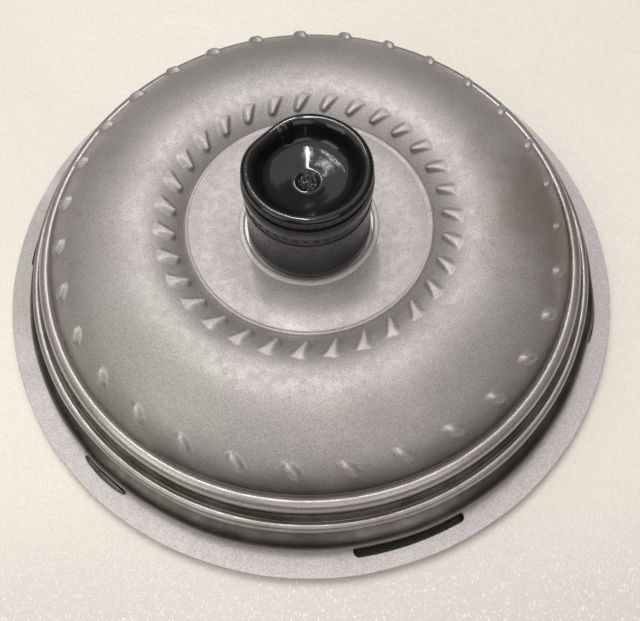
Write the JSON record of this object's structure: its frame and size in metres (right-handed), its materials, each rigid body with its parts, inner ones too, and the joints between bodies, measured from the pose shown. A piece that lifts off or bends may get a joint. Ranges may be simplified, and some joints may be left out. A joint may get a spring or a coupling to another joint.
{
  "type": "torque converter",
  "caption": "Round welded torque converter with a stepped rim, a thin mounting flange, a dimpled half-torus shell and a capped pump hub; bladed wheels, stator and lock-up clutch inside.",
  "frame": {"origin": "centre of the plane that the drive bosses stand on, on the crankshaft axis", "axes": "+Z along the crankshaft axis from the engine side to the transmission side; +X and +Y across, with the camera of the source view on the -Y side"},
  "size_m": [0.2802, 0.2802, 0.09],
  "materials": {
    "shell_steel": "satin, blasted",
    "flange_steel": "light satin",
    "weld_metal": "as welded, dark",
    "machined_steel": "turned",
    "blade_steel": "pressed and brazed",
    "cast_aluminium": "as cast",
    "friction_paper": "fibrous paper",
    "spring_steel": "oil tempered",
    "bearing_steel": "ground",
    "seal_rubber": "matt",
    "cap_plastic": "glossy moulded"
  },
  "bodies": {
    "housing": {"front_cover": "shell_steel", "mounting_flange": "flange_steel", "crank_pilot": "machined_steel", "drive_boss_1": "machined_steel", "drive_boss_2": "machined_steel", "drive_boss_3": "machined_steel", "drive_boss_4": "machined_steel", "drive_boss_5": "machined_steel", "drive_boss_6": "machined_steel", "flange_weld_1": "weld_metal", "flange_weld_2": "weld_metal", "flange_weld_3": "weld_metal", "impeller_shell": "shell_steel", "closing_weld": "weld_metal", "impeller_blade_ring": "blade_steel", "pump_hub": "machined_steel", "hub_weld": "weld_metal", "cover_thrust_washer": "friction_paper", "rear_bearing_hub_race": "bearing_steel"},
    "turbine": {"turbine_shell": "blade_steel", "turbine_blade_ring": "blade_steel", "turbine_hub": "machined_steel", "damper_drive_ring": "spring_steel", "front_bearing_hub_race": "bearing_steel"},
    "damper": {"damper_spring_1": "spring_steel", "damper_spring_2": "spring_steel", "damper_spring_3": "spring_steel", "damper_spring_4": "spring_steel"},
    "piston": {"lockup_piston": "blade_steel", "piston_seal": "seal_rubber", "friction_lining": "friction_paper", "spring_retainer": "spring_steel"},
    "stator": {"stator_wheel": "cast_aluminium", "clutch_outer_race": "machined_steel", "clutch_front_plate": "blade_steel", "clutch_rear_plate": "blade_steel", "front_bearing_stator_race": "bearing_steel", "rear_bearing_stator_race": "bearing_steel", "clutch_spring_1": "spring_steel", "clutch_spring_2": "spring_steel", "clutch_spring_3": "spring_steel", "clutch_spring_4": "spring_steel", "clutch_spring_5": "spring_steel", "clutch_spring_6": "spring_steel"},
    "inner_race": {"clutch_inner_race": "machined_steel"},
    "front_cage": {"front_bearing_cage": "bearing_steel"},
    "rear_cage": {"rear_bearing_cage": "bearing_steel"},
    "cap": {"transport_cap": "cap_plastic"},
    "roller_1": {"clutch_roller_1": "bearing_steel"},
    "roller_2": {"clutch_roller_2": "bearing_steel"},
    "roller_3": {"clutch_roller_3": "bearing_steel"},
    "roller_4": {"clutch_roller_4": "bearing_steel"},
    "roller_5": {"clutch_roller_5": "bearing_steel"},
    "roller_6": {"clutch_roller_6": "bearing_steel"}
  },
  "joints": [
    {"name": "turbine_spin", "type": "hinge", "parent": "housing", "child": "turbine", "pos_m": [0, 0, 0], "axis": [0, 0, 1], "continuous": true},
    {"name": "damper_twist", "type": "hinge", "parent": "turbine", "child": "damper", "pos_m": [0, 0, 0], "axis": [0, 0, 1], "range_deg": [-6, 6]},
    {"name": "lockup_slide", "type": "slide", "parent": "damper", "child": "piston", "axis": [0, 0, 1], "range_m": [-0.0009, 0]},
    {"name": "stator_spin", "type": "hinge", "parent": "housing", "child": "stator", "pos_m": [0, 0, 0], "axis": [0, 0, 1], "continuous": true},
    {"name": "inner_race_spin", "type": "hinge", "parent": "stator", "child": "inner_race", "pos_m": [0, 0, 0], "axis": [0, 0, 1], "continuous": true},
    {"name": "front_cage_spin", "type": "hinge", "parent": "turbine", "child": "front_cage", "pos_m": [0, 0, 0], "axis": [0, 0, 1], "continuous": true},
    {"name": "rear_cage_spin", "type": "hinge", "parent": "housing", "child": "rear_cage", "pos_m": [0, 0, 0], "axis": [0, 0, 1], "continuous": true},
    {"name": "cap_pull", "type": "slide", "parent": "housing", "child": "cap", "axis": [0, 0, 1], "range_m": [0, 0.045]},
    {"name": "roller_1_spin", "type": "hinge", "parent": "stator", "child": "roller_1", "pos_m": [0.0263, 0, 0.034], "axis": [0, 0, 1], "continuous": true},
    {"name": "roller_2_spin", "type": "hinge", "parent": "stator", "child": "roller_2", "pos_m": [0.01315, 0.02278, 0.034], "axis": [0, 0, 1], "continuous": true},
    {"name": "roller_3_spin", "type": "hinge", "parent": "stator", "child": "roller_3", "pos_m": [-0.01315, 0.02278, 0.034], "axis": [0, 0, 1], "continuous": true},
    {"name": "roller_4_spin", "type": "hinge", "parent": "stator", "child": "roller_4", "pos_m": [-0.0263, 0, 0.034], "axis": [0, 0, 1], "continuous": true},
    {"name": "roller_5_spin", "type": "hinge", "parent": "stator", "child": "roller_5", "pos_m": [-0.01315, -0.02278, 0.034], "axis": [0, 0, 1], "continuous": true},
    {"name": "roller_6_spin", "type": "hinge", "parent": "stator", "child": "roller_6", "pos_m": [0.01315, -0.02278, 0.034], "axis": [0, 0, 1], "continuous": true}
  ],
  "couplings": [
    {"joint": "rear_cage_spin", "follows": "stator_spin", "ratio": 0.5},
    {"joint": "roller_1_spin", "follows": "inner_race_spin", "ratio": -5.5},
    {"joint": "roller_2_spin", "follows": "inner_race_spin", "ratio": -5.5},
    {"joint": "roller_3_spin", "follows": "inner_race_spin", "ratio": -5.5},
    {"joint": "roller_4_spin", "follows": "inner_race_spin", "ratio": -5.5},
    {"joint": "roller_5_spin", "follows": "inner_race_spin", "ratio": -5.5},
    {"joint": "roller_6_spin", "follows": "inner_race_spin", "ratio": -5.5}
  ]
}
